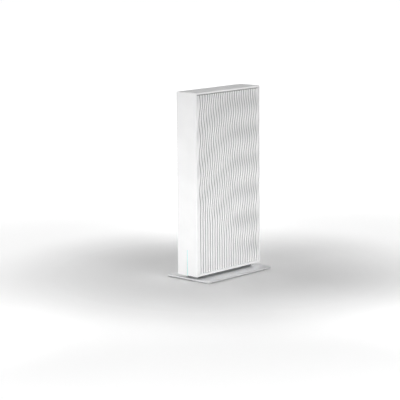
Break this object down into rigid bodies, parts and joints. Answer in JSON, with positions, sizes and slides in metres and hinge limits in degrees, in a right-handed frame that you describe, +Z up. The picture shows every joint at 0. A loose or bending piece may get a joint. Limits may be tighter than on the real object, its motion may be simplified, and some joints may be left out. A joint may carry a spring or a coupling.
{
  "type": "wireless router",
  "caption": "Upright slab wireless router with wavy ribbed side panels, rear network sockets, power inlet and pairing button, on a flat metal stand.",
  "frame": {"origin": "on the floor, under the middle of the stand", "axes": "+Z up, front face towards -Y, sockets towards +Y, +X to the right when facing the front"},
  "size_m": [0.056, 0.096, 0.1869],
  "materials": {
    "white_shell": "fine satin moulded texture",
    "white_panel": "satin, ribbed",
    "dark_neck": "fine matte texture",
    "stand_metal": "bead-blasted satin",
    "rubber": "matte",
    "zinc_screw": "zinc plated",
    "label_paper": "blank matte label",
    "light_guide": "translucent, lit cyan",
    "led_package": "white package",
    "board_green": "solder-masked glass laminate",
    "chip_black": "moulded epoxy",
    "tin_shield": "tin plated",
    "gap_pad": "soft silicone",
    "sink_metal": "extruded, natural",
    "nylon_pin": "nylon",
    "ferrite": "ferrite",
    "capacitor_can": "bright can",
    "socket_grey": "moulded",
    "socket_white": "moulded",
    "gold_contact": "gold flashed",
    "inlet_black": "moulded",
    "inlet_pin_metal": "nickel plated",
    "white_button": "satin",
    "switch_black": "moulded",
    "antenna_laminate": "laminate with copper",
    "bracket_plastic": "moulded",
    "cable_jacket": "smooth jacket",
    "dark_mark": "pad-printed grey",
    "pale_mark": "pad-printed pale grey"
  },
  "bodies": {
    "housing": {"frame_shell": "white_shell", "right_side_panel": "white_panel", "left_side_panel": "white_panel", "stand_neck": "dark_neck", "base_plate": "stand_metal", "rubber_feet": "rubber", "base_screws": "zinc_screw", "rating_label": "label_paper", "led_light_guide": "light_guide", "status_leds": "led_package", "main_board": "board_green", "board_screws": "zinc_screw", "main_processor": "chip_black", "memory_chips": "chip_black", "ethernet_switch_chip": "chip_black", "radio_chips": "chip_black", "radio_shields": "tin_shield", "thermal_pads": "gap_pad", "heatsink": "sink_metal", "heatsink_pins": "nylon_pin", "rear_heat_spreader": "sink_metal", "lan_transformers": "chip_black", "power_inductors": "ferrite", "capacitors": "capacitor_can", "ethernet_jack_housing": "socket_grey", "ethernet_jack_bezel": "socket_white", "ethernet_contact_blocks": "socket_white", "ethernet_contacts": "gold_contact", "dc_jack_housing": "socket_white", "dc_jack_sleeve": "inlet_black", "dc_jack_pin": "inlet_pin_metal", "dc_jack_spring": "inlet_pin_metal", "pair_switch_body": "switch_black", "antennas": "antenna_laminate", "antenna_brackets": "bracket_plastic", "antenna_connectors": "gold_contact", "antenna_cables": "cable_jacket", "wan_port_label": "dark_mark", "lan_port_label": "pale_mark", "power_symbol": "dark_mark", "pair_symbol": "dark_mark"},
    "pair_button": {"pair_button_cap": "white_button", "pair_switch_plunger": "switch_black"}
  },
  "joints": [
    {"name": "pair_button_press", "type": "slide", "parent": "housing", "child": "pair_button", "axis": [0, -1, 0], "range_m": [0, 0.0005], "stiffness_N_per_m": 3000}
  ]
}
